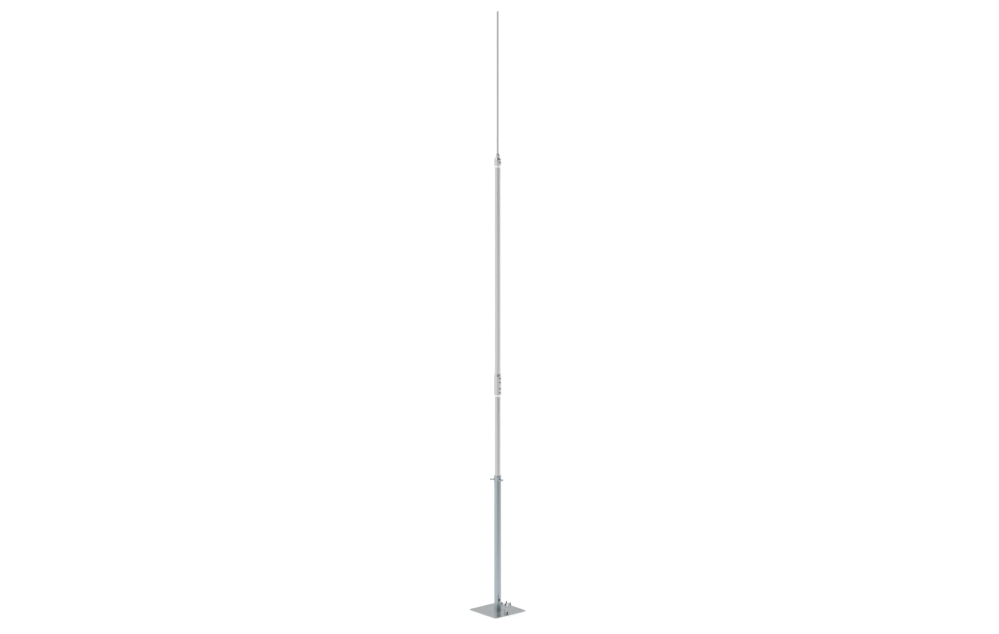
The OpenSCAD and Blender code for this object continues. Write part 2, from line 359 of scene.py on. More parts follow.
@dataclass(frozen=True)
class ColdFormedSteel(Finish):
    """Stainless fastener steel: satin, with tiny pits and rubbed patches."""

    slot: ClassVar[Slot] = Slot.STAINLESS
    rub: float = 5 * MM
    rub_contrast: float = 0.16
    rub_gloss: float = 0.20
    pit: float = 0.5 * MM
    pit_contrast: float = 0.10
    pit_gloss: float = 0.08
    depth: float = 0.03 * MM

    def paint(self, graph: Graph) -> None:
        """Draw pits and rubbed patches.

        Args:
            graph: Empty graph of the material.
        """
        place = graph.place()
        rubbed = graph.noise(place, self.rub, Detail.EVEN)
        pits = graph.noise(place, self.pit, Detail.SOFT)
        tone = 1.0 + rubbed.swing(self.rub_contrast) + pits.swing(self.pit_contrast)
        gloss = self.roughness + rubbed.swing(self.rub_gloss) + pits.swing(self.pit_gloss)
        graph.metal(graph.toned(self.colour, tone), gloss, pits, self.depth)


PLATE_ZINC = SpangledZinc(
    "plate_zinc",
    (0.575, 0.60, 0.615),
    roughness=0.17,
    crystal=14 * MM,
    contrast=0.05,
    cloud=90 * MM,
    cloud_contrast=0.06,
    film=0.13,
)
TUBE_ZINC = SpangledZinc("tube_zinc", (0.455, 0.513, 0.54), roughness=0.34)
POST_ZINC = SpangledZinc(
    "post_zinc", (0.45, 0.485, 0.505), roughness=0.28, crystal=5 * MM, contrast=0.12, cloud=30 * MM
)
# Painted highlight: the post's zinc made much paler for the upper clamp plate, standing in for the white
# background that its top mirrors.
CLAMP_HIGHLIGHT_ZINC = replace(
    POST_ZINC, name="clamp_zinc", colour=(0.88, 0.90, 0.91), roughness=0.18, contrast=0.10
)
# Painted shade: a darkened zinc for the inside of the foot tube, standing in for the shade inside the
# bore; the coating there is the same zinc.
BORE_SHADE_ZINC = SpangledZinc(
    "bore_zinc",
    (0.17, 0.178, 0.187),
    roughness=0.60,
    crystal=6 * MM,
    contrast=0.20,
    cloud=40 * MM,
    cloud_contrast=0.20,
)
# Painted shade: a near-black zinc for the inside of the hollow post, standing in for the shade inside
# it.
HOLLOW_SHADE_ZINC = replace(BORE_SHADE_ZINC, name="hollow_zinc", colour=(0.05, 0.053, 0.056))
WELD_ZINC = SpangledZinc(
    "weld_zinc",
    (0.36, 0.40, 0.42),
    roughness=0.45,
    crystal=4 * MM,
    contrast=0.14,
    cloud=12 * MM,
    cloud_contrast=0.16,
)
DRAWN_ALUMINIUM = WorkedAluminium("drawn_aluminium", (0.64, 0.645, 0.64), roughness=0.30)
ROD_ALUMINIUM = WorkedAluminium("rod_aluminium", (0.52, 0.525, 0.52), roughness=0.38)
TURNED_ALUMINIUM = WorkedAluminium(
    "turned_aluminium", (0.62, 0.625, 0.62), roughness=0.20, grain=Grain.ROUND, line=0.4 * MM
)
# Painted highlight: a paler copy of the turned aluminium for downward-facing slopes, standing in for the
# bright floor that they reflect.
PAINTED_HIGHLIGHT_ALUMINIUM = replace(
    TURNED_ALUMINIUM, name="bright_turned_aluminium", colour=(0.84, 0.845, 0.84), roughness=0.22
)
SCREW_STEEL = ColdFormedSteel("screw_steel", (0.40, 0.40, 0.405), roughness=0.24)
PLATED_STEEL = ColdFormedSteel("plated_screw_steel", (0.50, 0.55, 0.575), roughness=0.24)
BRIGHT_STEEL = ColdFormedSteel("bright_screw_steel", (0.62, 0.62, 0.625), roughness=0.24)
# Painted shade: the clamp's bolts and nuts are made near black, standing in for the shade in the
# recesses round the clamp.
CLAMP_BOLT_SHADE_STEEL = ColdFormedSteel("bolt_steel", (0.125, 0.138, 0.146), roughness=0.26)


@dataclass(frozen=True)
class Box:
    """Lowest and highest corner of a CAD node."""

    low: Vector
    high: Vector

    @classmethod
    def of(cls, node: str) -> "Box":
        """Read a node's box from the frame."""
        return cls(*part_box(node))

    @property
    def size(self) -> Vector:
        """Extent along each axis."""
        return self.high - self.low

    @property
    def middle(self) -> Vector:
        """Centre of the box."""
        return (self.low + self.high) / 2

    def axis(self, height: float) -> Vector:
        """Point of the box's upright axis at a height."""
        return Vector((self.middle.x, self.middle.y, height))


def mount(name: str) -> dict:
    """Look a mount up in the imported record."""
    return next(row for row in frame["record"]["mounts"] if row["name"] == name)


def placed(name: str, data: bpy.types.ID) -> bpy.types.Object:
    """Link a new object with some data into the scene.

    Args:
        name: Name of the object.
        data: Its mesh, camera or light.

    Returns:
        The new object.
    """
    made = bpy.data.objects.new(name, data)
    bpy.context.scene.collection.objects.link(made)
    return made


def up(height: float) -> Vector:
    """Vector straight up."""
    return Vector((0.0, 0.0, height))


def polar(radius: float, turn: float, height: float = 0.0) -> Vector:
    """Point at a radius, an angle in radians and a height."""
    return Vector((radius * math.cos(turn), radius * math.sin(turn), height))


def turns(count: int) -> list[float]:
    """Equal steps round a full turn, in radians."""
    return [math.tau * i / count for i in range(count)]


def ring(radius: float, height: float, columns: int) -> list[Vector]:
    """Points of a level circle about the Z axis, from +X towards +Y."""
    return [polar(radius, turn, height) for turn in turns(columns)]


def rings(sizes: Sequence[Sequence[float]], columns: int) -> Rows:
    """Level circles, one for each pair of radius and height."""
    return [ring(radius, height, columns) for radius, height in sizes]


def fillet(radius: float, steps: int = 3) -> Pairs:
    """Draw a quarter round.

    Args:
        radius: Radius of the rounding.
        steps: Number of its straight pieces.

    Returns:
        Distances from the two sides that it joins, from (radius, 0) to (0, radius).
    """
    angles = [QUARTER * i / steps for i in range(steps + 1)]
    return [(radius * (1 - math.sin(a)), radius * (1 - math.cos(a))) for a in angles]


def radial(turn: float, height: float, distance: float) -> Matrix:
    """Set a frame on a radius of the mast.

    Args:
        turn: Angle of the radius, in radians.
        height: Height of the radius.
        distance: Distance of the frame from the mast's axis.

    Returns:
        The frame, its +Z outward.
    """
    lay = Matrix.Rotation(QUARTER, 4, "Y")
    out = Matrix.Translation(up(distance))
    return Matrix.Rotation(turn, 4, "Z") @ Matrix.Translation(up(height)) @ lay @ out


class Skin:
    """Collects rows of points into one welded mesh."""

    WELD = 2e-6
    CREASE = math.radians(32)

    def __init__(self, *spans: Rows) -> None:
        """Start with closed spans, if any are given."""
        self.bm = bmesh.new()
        for rows in spans:
            self.span(rows)

    def span(self, rows: Rows, closed: bool = True) -> None:
        """Span neighbouring rows of equal length with smooth quads.

        Args:
            rows: The rows of points, in order.
            closed: Whether each row runs round and meets its own start.
        """
        made = [[self.bm.verts.new(point) for point in row] for row in rows]
        for low, high in zip(made, made[1:]):
            for i in range(0 if closed else 1, len(low)):
                face = self.bm.faces.new((low[i - 1], low[i], high[i], high[i - 1]))
                face.smooth = True

    def fill(self, loops: Rows) -> None:
        """Fill a level region with flat faces.

        Args:
            loops: Its outline, then the outlines of its holes.
        """
        edges = []
        for loop in loops:
            verts = [self.bm.verts.new(point) for point in loop]
            edges += [self.bm.edges.new((verts[i - 1], verts[i])) for i in range(len(verts))]
        bmesh.ops.triangle_fill(self.bm, edges=edges, use_beauty=True, normal=up(1.0))

    def mesh(self, name: str, place: Optional[Matrix] = None) -> bpy.types.Mesh:
        """Weld the faces and shade them.

        Args:
            name: Name of the mesh.
            place: Where the skin is moved to, if it was made about its own origin.

        Returns:
            The finished mesh.
        """
        bm = self.bm
        bmesh.ops.remove_doubles(bm, verts=bm.verts, dist=self.WELD)
        bmesh.ops.recalc_face_normals(bm, faces=bm.faces)
        for edge in bm.edges:
            edge.smooth = len(edge.link_faces) == 2 and edge.calc_face_angle() < self.CREASE
        mesh = bpy.data.meshes.new(name)
        bm.to_mesh(mesh)
        bm.free()
        if place:
            mesh.transform(place)
        return mesh


@dataclass(frozen=True)
class Corner:
    """A corner of an outline, with the radius that rounds it."""

    across: float
    along: float
    round: float = 0.0


ROUND_STEPS = 5
ROUND_LIMIT = 0.45


def rounded(corners: Sequence[Corner]) -> list[Vector]:
    """Draw a closed outline with its corners rounded.

    Args:
        corners: The outline's corners in order.

    Returns:
        The outline's points, the first one repeated at the end.
    """
    points = [Vector((c.across, c.along)) for c in corners]
    outline = []
    for i, corner in enumerate(corners):
        here = points[i]
        if not corner.round:
            outline.append(here)
            continue
        arms = [points[i - 1] - here, points[(i + 1) % len(points)] - here]
        reach = corner.round / math.tan(arms[0].angle(arms[1]) / 2)
        start, stop = (here + arm.normalized() * min(reach, ROUND_LIMIT * arm.length) for arm in arms)
        for step in range(ROUND_STEPS):
            t = step / (ROUND_STEPS - 1)
            outline.append(start.lerp(here, t).lerp(here.lerp(stop, t), t))
    return outline + outline[:1]


@dataclass(frozen=True)
class Hexagon:
    """Hexagon prism with turned corners, as on screw heads and nuts, standing on z = 0."""

    across_flats: float
    height: float
    flat_share: float = 0.94
    corner_share: float = 0.985
    slope: float = math.tan(math.radians(30))

    def reach(self, turn: float) -> float:
        """Measure from the prism's axis to its side.

        Args:
            turn: Angle from a corner, in radians.

        Returns:
            The distance, shortened at the turned corners.
        """
        off = (turn + HEX_HALF) % (2 * HEX_HALF) - HEX_HALF
        side = self.across_flats / 2
        corner = self.corner_share * side / math.cos(HEX_HALF)
        return min(side / math.cos(HEX_HALF - abs(off)), corner)

    def rows(self, bevel_below: bool) -> Rows:
        """Draw the prism's outside, from the flat of its foot to the flat of its top.

        Args:
            bevel_below: Whether the foot's corners are bevelled as well.

        Returns:
            Four rows of points: flat, foot of the sides, top of the sides, flat.
        """
        flat = self.across_flats / 2 * self.flat_share
        low, high = [], []
        for turn in turns(SCREW_COLUMNS):
            reach = self.reach(turn)
            drop = (reach - flat) * self.slope
            low.append(polar(reach, turn, drop if bevel_below else 0.0))
            high.append(polar(reach, turn, self.height - drop))
        return [ring(flat, 0.0, SCREW_COLUMNS), low, high, ring(flat, self.height, SCREW_COLUMNS)]


@dataclass(frozen=True)
class Thread:
    """Cut thread of a screw: a helix of flat-topped ridges that runs out at both ends.

    The depth and the run-out are counted in pitches, and the ridge is drawn by the phase and the rise
    of its corners on one turn.
    """

    diameter: float
    pitch: float
    depth: float = 0.6134
    run_out: float = 0.75
    ridge: Sequence[tuple[float, float]] = ((0.0, 0.0), (0.25, 0.0), (0.5625, 1.0), (0.6875, 1.0))

    @property
    def root(self) -> float:
        """Radius at the bottom of the thread."""
        return self.diameter / 2 - self.depth * self.pitch

    def rows(self, bottom: float, top: float) -> Rows:
        """Draw the helix between two heights.

        Args:
            bottom: Height where the thread starts.
            top: Height where it ends.

        Returns:
            Open rows, one for each corner of the ridge on each turn, each ending where the same corner
            starts its next turn.
        """
        shares = [i / SCREW_COLUMNS for i in range(SCREW_COLUMNS + 1)]
        phases = [(-1.0, 0.0)]
        for turn in range(-1, math.ceil((top - bottom) / self.pitch) + 1):
            phases += [(turn + phase, rise) for phase, rise in self.ridge]
        phases.append((phases[-1][0] + 1.0, 0.0))
        rows: Rows = []
        for phase, rise in phases:
            rows.append([])
            for share in shares:
                height = bottom + (phase + share) * self.pitch
                inside = min(height - bottom, top - height) / (self.run_out * self.pitch)
                ridge = self.depth * self.pitch * rise * min(1.0, max(0.0, inside))
                level = min(top, max(bottom, height))
                rows[-1].append(polar(self.root + ridge, math.tau * share, level))
        return rows


@dataclass(frozen=True)
class HexScrew:
    """Hexagon screw, threaded up to its head, with its tip at z = 0."""

    thread: Thread
    length: float
    head: Hexagon
    tip_share: float = 0.125
    washer_h: float = 0.3 * MM
    washer_share: float = 0.96

    def skin(self) -> Skin:
        """Make the bevelled tip, the thread, the washer face and the head as one closed skin.

        Returns:
            The screw's skin.
        """
        tip = self.thread.diameter * self.tip_share
        root = self.thread.root
        washer_r = self.head.across_flats / 2 * self.washer_share
        _, foot, *upper = self.head.rows(False)
        foot = [point + up(self.washer_h) for point in foot]
        washer = rings(((root, 0.0), (washer_r, 0.0), (washer_r, self.washer_h)), SCREW_COLUMNS)
        head = [*washer, foot, *upper, ring(0.0, self.head.height, SCREW_COLUMNS)]
        skin = Skin(rings(((0.0, 0.0), (root - tip / 2, 0.0), (root, tip)), SCREW_COLUMNS))
        skin.span(self.thread.rows(tip, self.length), closed=False)
        skin.span([[up(self.length) + point for point in row] for row in head])
        return skin


@dataclass(frozen=True)
class HexNut:
    """Hexagon nut bevelled on both faces, with countersunk bore, standing on z = 0."""

    body: Hexagon
    thread_d: float
    play: float = 1.01
    sink_share: float = 0.08

    def skin(self) -> Skin:
        """Make the outside and the bore as one closed skin.

        Returns:
            The nut's skin.
        """
        top = self.body.height
        bore = self.thread_d / 2 * self.play
        sink = self.thread_d * self.sink_share
        inside = ((bore + sink, top), (bore, top - sink), (bore, sink), (bore + sink, 0.0))
        rows = self.body.rows(True) + rings(inside, SCREW_COLUMNS)
        return Skin(rows + rows[:1])


@dataclass(frozen=True)
class WeldBead:
    """Fillet weld laid in overlapping ripples along a closed level path."""

    leg: float
    ripple: float = 2.6 * MM
    relief: float = 0.35 * MM
    bulge: float = 0.35
    lag: float = 0.6
    samples: int = 8
    across: int = 9

    def lay(self, path: Path, rise: float = 1.0) -> Skin:
        """Lay the bead.

        Args:
            path: Points of the inner corner line with their outward directions.
            rise: 1 for a bead that climbs from its path, -1 for one that hangs below it.

        Returns:
            The bead's closed skin.
        """
        rows: Rows = [[point for point, _ in path]]
        for k in range(self.across):
            share = k / (self.across - 1)
            turn = share * QUARTER
            crown = math.sin(math.pi * share)
            flat = Vector((share, 1.0 - share))
            arc = Vector((math.sin(turn), math.cos(turn)))
            out, high = flat.lerp(arc, self.bulge) * (self.leg - self.relief)
            rows.append([])
            for i, (point, outward) in enumerate(path):
                phase = (i / self.samples - self.lag * crown) % 1.0
                swell = self.relief * crown * math.sqrt(1.0 - phase)
                rows[-1].append(point + outward * (out + swell) + up(rise * (high + swell)))
        return Skin(rows + rows[:1])

    def count(self, length: float) -> int:
        """Number of points on a path of some length, for a whole number of ripples."""
        return self.samples * round(length / self.ripple)

    def round_path(self, radius: float, height: float) -> Path:
        """Path round a tube of some radius at a height."""
        outward = ring(1.0, 0.0, self.count(math.tau * radius))
        return [(o * radius + up(height), o) for o in outward]

    def square_path(self, centre: Vector, side: float, corner: float) -> Path:
        """Lead a path round a square tube.

        Args:
            centre: Middle of the path.
            side: Width of the tube.
            corner: Radius of its corners.

        Returns:
            The path's points and outward directions.
        """
        straight = side - 2 * corner
        length = 4 * straight + math.tau * corner
        count = self.count(length)
        path = []
        for i in range(count):
            quarter, run = divmod(i / count * length, length / 4)
            turn = Matrix.Rotation(quarter * QUARTER, 3, "Z")
            outward = polar(1.0, max(0.0, run - straight) / corner)
            spot = Vector((straight / 2, min(run, straight) - straight / 2, 0.0)) + outward * corner
            path.append((centre + turn @ spot, turn @ outward))
        return path


@dataclass(frozen=True)
class Port:
    """Opening or flat seat in a tube's wall, with round ends, seen along the radius."""

    width: float
    height: float
    middle: float
    turn: float = 0.0
    seat: Optional[float] = None
    lip: float = 0.5 * MM

    def edge(self, across: float, along: float, grow: float) -> tuple[float, float]:
        """Find the port's outline in a direction.

        Args:
            across: Direction along the wall's width.
            along: Direction along the wall's height.
            grow: Distance by which the outline is widened.

        Returns:
            Width and height of the outline's point from the port's middle.
        """
        radius = self.width / 2 + grow
        half = (self.height - self.width) / 2
        scale = math.hypot(across, along)
        across, along = across / scale, along / scale
        if abs(along) * radius <= half * abs(across):
            reach = radius / abs(across)
        else:
            offset = abs(along) * half
            reach = offset + math.sqrt(offset * offset - half * half + radius * radius)
        return across * reach, along * reach


@dataclass
class PortedTube:
    """Standing tube with ports in its wall, meshed so that the wall stays smooth round them."""

    outer: float
    bore: float
    bottom: float
    top: float
    ports: Sequence[Port] = ()
    rim_round: float = 0.5 * MM
    window: int = 8
    courses: int = 16
    slot_margin: float = 1.45
    hole_margin: float = 1.2
    outer_blends: Sequence[float] = (1.0, 0.66, 0.33)
    inner_blends: Sequence[float] = (0.5, 1.0)
    seat_shares: Sequence[float] = (1.0, 0.5, 0.0)
    digits: int = 7

    def reach(self, inner: bool) -> float:
        """Distance of the outer or the inner wall from the axis."""
        return self.bore if inner else self.outer

    def section(self, column: int, inner: bool) -> tuple[float, float]:
        """Point of the outer or the inner wall's plan at a column."""
        turn = math.tau * column / TUBE_COLUMNS
        return self.reach(inner) * math.cos(turn), self.reach(inner) * math.sin(turn)

    def depth(self, across: float, inner: bool) -> float:
        """Distance of the wall from the axis plane at a width, seen along a port's radius."""
        return math.sqrt(self.reach(inner) ** 2 - across * across)

    def heights(self, port: Port) -> list[float]:
        """Divide the window round a port into courses.

        Args:
            port: The port in the window.

        Returns:
            Heights of the window's rows, from below.
        """
        margin = self.slot_margin if port.height > port.width else self.hole_margin
        half = port.height / 2 * margin
        low = max(self.bottom + 2 * self.rim_round, port.middle - half)
        high = min(self.top - 2 * self.rim_round, port.middle + half)
        span = high - low
        return [round(low + span * i / self.courses, self.digits) for i in range(self.courses + 1)]

    def skin(self) -> Skin:
        """Make the wall, its rims and its ports.

        Returns:
            The tube's closed skin.
        """
        skin = Skin()
        for inner in (False, True):
            self._wall(skin, inner)
        for end, inward in ((self.bottom, 1.0), (self.top, -1.0)):
            skin.span(self._rim(end, inward))
        for port in self.ports:
            turn = Matrix.Rotation(port.turn, 3, "Z")
            skin.span([[turn @ point for point in row] for row in self._port(port)])
        return skin

    def _opened(self, column: int, low: float, high: float, inner: bool) -> bool:
        """Find out whether a cell of the wall lies in the window of a port that opens that wall.

        Args:
            column: Column on the cell's one side.
            low: Height of its foot.
            high: Height of its top.
            inner: Whether the inner wall is meant, which a seat leaves whole.

        Returns:
            True for a cell that is left out of the plain wall.
        """
        for port in self.ports:
            heights = self.heights(port)
            first = round(port.turn / math.tau * TUBE_COLUMNS) - self.window
            beside = (column - first) % TUBE_COLUMNS < 2 * self.window
            whole = inner and port.seat is not None
            if beside and heights[0] <= low and high <= heights[-1] and not whole:
                return True
        return False

    def _wall(self, skin: Skin, inner: bool) -> None:
        """Lay the plain cells of a wall.

        Args:
            skin: Skin that takes the cells.
            inner: Whether the inner wall is laid.
        """
        heights = {self.bottom + self.rim_round, self.top - self.rim_round}
        for port in self.ports:
            heights.update(self.heights(port))
        levels = sorted(heights)
        for low, high in zip(levels, levels[1:]):
            for column in range(TUBE_COLUMNS):
                if not self._opened(column, low, high, inner):
                    sides = (self.section(column, inner), self.section(column + 1, inner))
                    cell = [[Vector((*side, z)) for side in sides] for z in (low, high)]
                    skin.span(cell, closed=False)

    def _rim(self, end: float, inward: float) -> Rows:
        """Round the edges of one end over.

        Args:
            end: Height of the end.
            inward: 1 at the bottom, -1 at the top.

        Returns:
            Rows of points from the outer wall over the end to the inner wall.
        """
        steps = fillet(self.rim_round)
        outside = [(False, -inset, rise) for rise, inset in steps]
        inside = [(True, inset, rise) for rise, inset in reversed(steps)]
        rows: Rows = []
        for inner, out, rise in outside + inside:
            rows.append([])
            for column in range(TUBE_COLUMNS):
                x, y = self.section(column, inner)
                grow = 1.0 + out / math.hypot(x, y)
                rows[-1].append(Vector((x * grow, y * grow, end + inward * rise)))
        return rows

    def _port(self, port: Port) -> Rows:
        """Join the wall to a port and line the port.

        Args:
            port: The port.

        Returns:
            Rows of points in the port's own frame, from the outer wall inward.
        """
        courses = [(False, port.lip, 0.0, blend) for blend in self.outer_blends]
        courses += [(False, grow, sink, 0.0) for grow, sink in fillet(port.lip)]
        if port.seat is None:
            courses += [(True, grow, -sink, 0.0) for grow, sink in reversed(fillet(port.lip, 2))]
            courses += [(True, port.lip, 0.0, blend) for blend in self.inner_blends]
        borders = [self._border(port, inner) for inner in (False, True)]
        directions = [(y, z - port.middle) for y, z in borders[False]]
        rows: Rows = []
        for inner, grow, sink, blend in courses:
            rows.append([])
            for direction, (border_y, border_z) in zip(directions, borders[inner]):
                y, z = port.edge(*direction, grow)
                y += (border_y - y) * blend
                z += port.middle
                z += (border_z - z) * blend
                rows[-1].append(Vector((self.depth(y, inner) - sink, y, z)))
        if port.seat is not None:
            edge = [port.edge(*direction, 0.0) for direction in directions]
            for share in self.seat_shares:
                rows.append([Vector((port.seat, y * share, z * share + port.middle)) for y, z in edge])
        return rows

    def _border(self, port: Port, inner: bool) -> Pairs:
        """Lead round the border of the window about a port.

        Args:
            port: The port in the window.
            inner: Whether the border lies on the inner wall.

        Returns:
            Width and height of each point, in the port's own frame.
        """
        heights = self.heights(port)
        widths = [self.section(c, inner)[1] for c in range(-self.window, self.window + 1)]
        bottom = [(y, heights[0]) for y in widths]
        top = [(y, heights[-1]) for y in reversed(widths)]
        right = [(widths[-1], z) for z in heights[1:-1]]
        left = [(widths[0], z) for z in reversed(heights[1:-1])]
        return bottom + right + top + left


@dataclass
class PortedPost(PortedTube):
    """Square hollow section with round corners and ports in its flat sides."""

    corner: float = 4.5 * MM

    def section(self, column: int, inner: bool) -> tuple[float, float]:
        """Find a point of the post's plan: two thirds of a side's columns are flat, the rest is corner.

        Args:
            column: Column that is counted from the middle of the +X side.
            inner: Whether the inner wall is meant.

        Returns:
            The point's x and y.
        """
        per_side = TUBE_COLUMNS // 4
        side, step = divmod(column + per_side // 2, per_side)
        off = step - per_side // 2
        corner = self.corner - (self.outer - self.reach(inner))
        flat = self.reach(inner) - corner
        past = max(0, abs(off) - self.window) / (per_side // 2 - self.window)
        bend = math.copysign(past * QUARTER / 2, off)
        x = flat + corner * math.cos(bend)
        y = flat * max(-1.0, min(1.0, off / self.window)) + corner * math.sin(bend)
        turn = side * QUARTER
        return x * math.cos(turn) - y * math.sin(turn), x * math.sin(turn) + y * math.cos(turn)

    def depth(self, across: float, inner: bool) -> float:
        """Distance of a flat side from the axis."""
        return self.reach(inner)


@dataclass(frozen=True)
class BevelledPlate:
    """Level square plate with round corners, rounded edges and round holes."""

    centre: Vector
    side: float
    thickness: float
    corner: float
    edge: float
    holes: Sequence[tuple[float, float, float]]
    corner_points: int = 10
    hole_points: int = 40
    quarters: Sequence[tuple[int, int]] = ((1, 1), (-1, 1), (-1, -1), (1, -1))

    def loops(self, inset: float, height: float) -> Rows:
        """Draw the plate's outline and its holes at one height.

        Args:
            inset: Distance by which the outline is drawn in and the holes are widened.
            height: Height above the plate's underside.

        Returns:
            The outer loop of points, then a loop for each hole.
        """
        offset = self.side / 2 - self.corner
        outline = []
        for quarter, (x, y) in enumerate(self.quarters):
            middle = self.centre + Vector((x * offset, y * offset, height))
            for i in range(self.corner_points):
                turn = (quarter + i / (self.corner_points - 1)) * QUARTER
                outline.append(middle + polar(self.corner - inset, turn))
        loops = [outline]
        for x, y, radius in self.holes:
            spot = self.centre + Vector((x, y, 0.0))
            loops.append([spot + point for point in ring(radius + inset, height, self.hole_points)])
        return loops

    def skin(self) -> Skin:
        """Make the rounded edges and fill both faces.

        Returns:
            The plate's closed skin.
        """
        steps = fillet(self.edge)
        profile = steps + [(inset, self.thickness - rise) for inset, rise in reversed(steps)]
        levels = [self.loops(inset, height) for inset, height in profile]
        skin = Skin(*zip(*levels))
        skin.fill(levels[0])
        skin.fill(levels[-1])
        return skin


@dataclass(frozen=True)
class PressedClamp:
    """Pressed upper clamp plate: two crossing channels between four flat pads."""

    centre: Vector
    side: float
    thickness: float
    corner: float
    conductor: float
    foot: float = 1.2 * MM
    arc_points: int = 12
    pad_points: int = 9

    def profile(self, crown: float, pad: float) -> Pairs:
        """Draw the half-section of a channel.

        Args:
            crown: Radius of the channel's crown.
            pad: Height of the pad beside it.

        Returns:
            Distance from the middle and height of each point, from the plate's edge to the middle.
        """
        half = self.side / 2
        pad_run = half - crown - self.foot
        points = [(half - pad_run * i / self.pad_points, pad) for i in range(self.pad_points)]
        points += [(crown + out, pad + rise) for out, rise in fillet(self.foot)]
        arc = [QUARTER * i / self.arc_points for i in range(self.arc_points + 1)]
        return points + [(crown * math.cos(a), self.conductor + crown * math.sin(a)) for a in arc]

    def sheet(self, crown: float, pad: float) -> Rows:
        """Draw one side of the sheet, the higher channel winning where two cross.

        Args:
            crown: Radius of the channels' crowns.
            pad: Height of the pads.

        Returns:
            Rows of points from edge to edge.
        """
        half = self.profile(crown, pad)
        line = [(-d, h) for d, h in half] + [(d, h) for d, h in reversed(half[:-1])]
        return [[self._cornered(x, y, max(high_x, high_y)) for x, high_x in line] for y, high_y in line]

    def _cornered(self, x: float, y: float, height: float) -> Vector:
        """Set a point of the sheet, drawn in where the plate's corners are round.

        Args:
            x: Its place along x on a plate with sharp corners.
            y: Its place along y there.
            height: Its height above the plate's underside.

        Returns:
            The point in the frame.
        """
        offset = self.side / 2 - self.corner
        past = Vector((max(abs(x) - offset, 0.0), max(abs(y) - offset, 0.0)))
        if past.x and past.y:
            past = past.normalized() * max(past)
            x = math.copysign(offset + past.x, x)
            y = math.copysign(offset + past.y, y)
        return self.centre + Vector((x, y, height))

    def skin(self) -> Skin:
        """Make both sides of the sheet and the edge between them.

        Returns:
            The clamp plate's closed skin.
        """
        over = self.sheet(self.conductor + self.thickness, self.thickness)
        under = self.sheet(self.conductor, 0.0)
        skin = Skin()
        for sheet in (over, under):
            skin.span(sheet, closed=False)
        skin.span([self._edge(over), self._edge(under)])
        return skin

    def _edge(self, sheet: Rows) -> list[Vector]:
        """Lead round the border of a sheet.

        Args:
            sheet: Rows of points from edge to edge.

        Returns:
            The points of the border in order.
        """
        right = [row[-1] for row in sheet[1:-1]]
        left = [row[0] for row in sheet[-2:0:-1]]
        return sheet[0] + right + sheet[-1][::-1] + left


@dataclass
class SubAssembly:
    """A group of the mast's pieces that is built and dressed together."""

    def piece(
        self, name: str, skin: Skin, finish: Finish, *nodes: str, place: Optional[Matrix] = None
    ) -> bpy.types.Mesh:
        """Set a finished skin into the frame.

        Args:
            name: Name of the new piece.
            skin: Its skin.
            finish: Its surface.
            nodes: CAD nodes that the piece stands for.
            place: Where the skin is moved to, if it was made about its own origin.

        Returns:
            The new piece's mesh.
        """
        mesh = skin.mesh(name, place)
        mesh.materials.append(finish.material())
        made = placed(name, mesh)
        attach(made, BODY)
        if nodes:
            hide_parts(*nodes)
        log.info("%s: %d faces, %s", name, len(mesh.polygons), finish.name)
        return mesh

    def redress(
        self, mesh: bpy.types.Mesh, finish: Finish, chosen: Callable[[bpy.types.MeshPolygon], bool]
    ) -> None:
        """Give some faces of a dressed mesh another finish.

        Args:
            mesh: Mesh that has its main finish already.
            finish: Finish of the chosen faces.
            chosen: Test that picks the faces.
        """
        mesh.materials.append(finish.material())
        for face in mesh.polygons:
            face.material_index = int(chosen(face))

    def build(self) -> None:
        """Make all the pieces of the group."""
        raise NotImplementedError


@dataclass
class Fastened(SubAssembly):
    """A group that is held by hexagon screws of one size."""

    thread: Thread = Thread(8 * MM, 1.25 * MM)
    head_h: float = 5.3 * MM

    def screw(self, node: str, across_flats: float, length: float, place: Matrix, steel: Finish) -> None:
        """Make a hexagon screw.

        Args:
            node: CAD screw that it stands for.
            across_flats: Width of its head.
            length: Its length with the head.
            place: Frame at its tip, +Z towards its head.
            steel: Its surface.
        """
        made = HexScrew(self.thread, length - self.head_h, Hexagon(across_flats, self.head_h))
        self.piece(f"threaded_{node}", made.skin(), steel, node, place=place)

    def nut(self, node: str, across_flats: float, height: float, place: Matrix, steel: Finish) -> None:
        """Make a hexagon nut.

        Args:
            node: CAD nut that it stands for.
            across_flats: Its width.
            height: Its height.
            place: Frame in the middle of its foot, +Z along its axis.
            steel: Its surface.
        """
        made = HexNut(Hexagon(across_flats, height), self.thread.diameter)
        self.piece(f"bevelled_{node}", made.skin(), steel, node, place=place)


